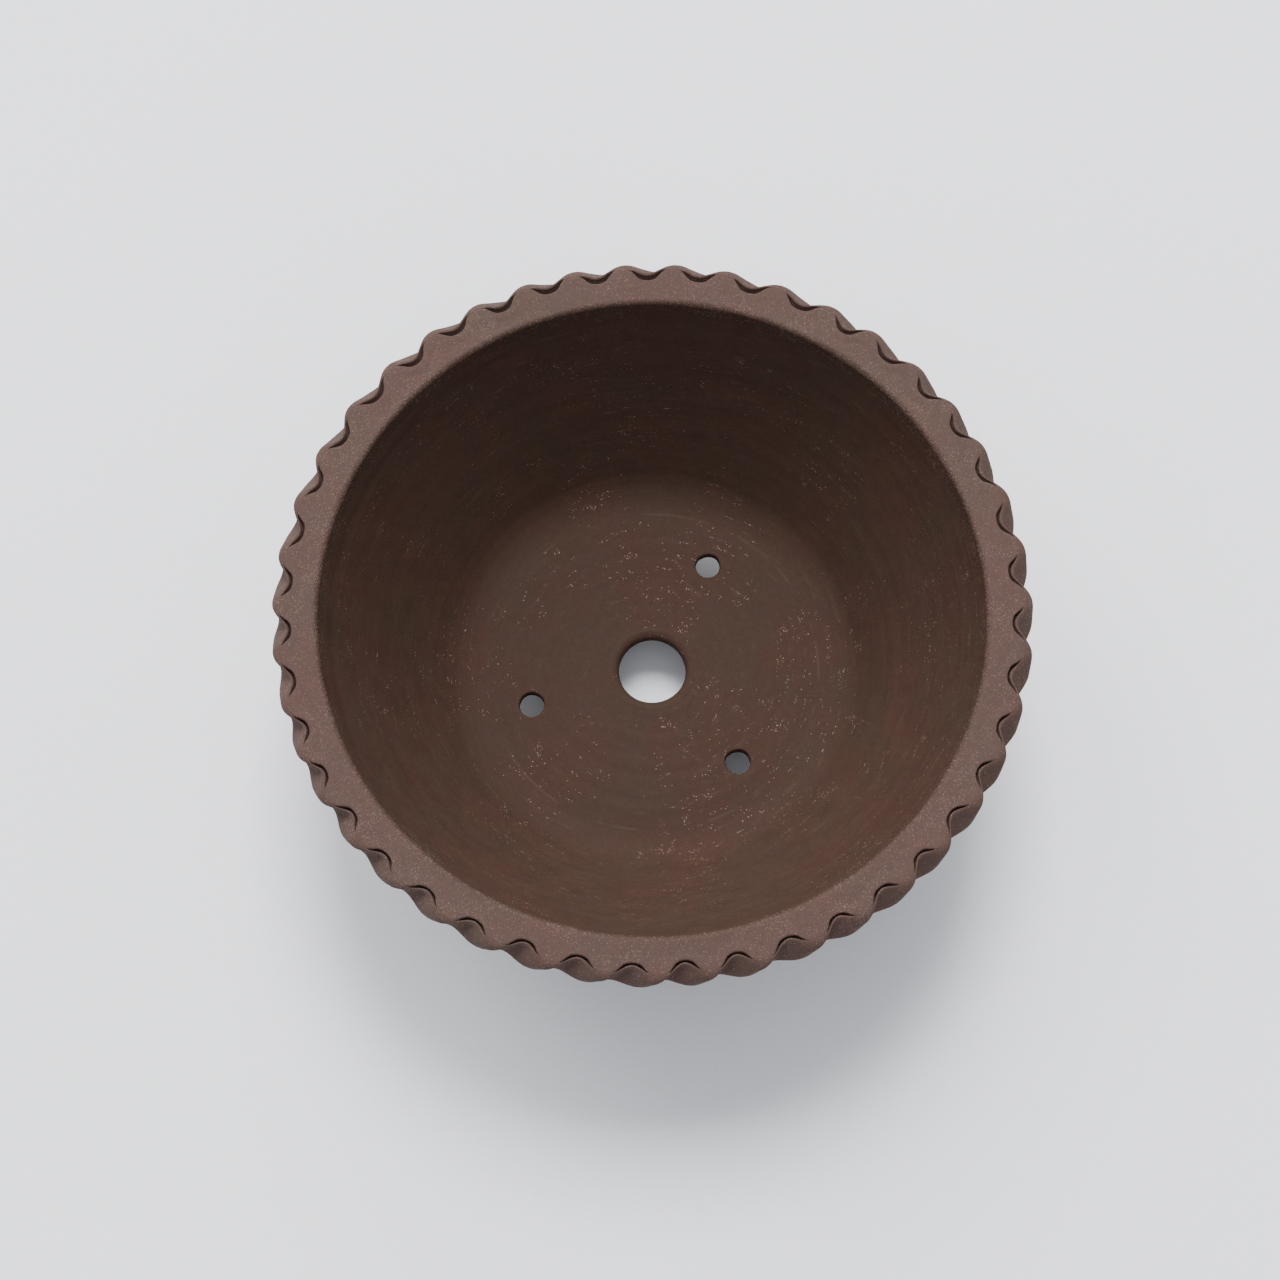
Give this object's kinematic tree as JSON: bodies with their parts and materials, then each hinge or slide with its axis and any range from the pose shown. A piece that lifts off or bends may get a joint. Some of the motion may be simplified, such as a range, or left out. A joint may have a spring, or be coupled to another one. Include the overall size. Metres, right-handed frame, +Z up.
{
  "type": "bonsai pot",
  "caption": "Round unglazed stoneware bonsai pot with a flat lip, a finger-pressed scalloped rim, a drain hole and wire holes, on low feet.",
  "frame": {"origin": "on the surface that the feet stand on, under the centre of the drain hole, which is the pot's axis", "axes": "+Z up along the axis of the bowl, out through the mouth; +Y points away from the side that the picture is taken from; +X to the right of it"},
  "size_m": [0.2649, 0.2647, 0.088],
  "materials": {
    "bowl_clay": "matte",
    "lip_clay": "matte",
    "foot_clay": "matte"
  },
  "bodies": {
    "root": {"floor_slab": "bowl_clay", "wall": "bowl_clay", "lip": "lip_clay", "rim_coil": "lip_clay", "foot_1": "foot_clay", "foot_2": "foot_clay", "foot_3": "foot_clay"}
  },
  "joints": []
}
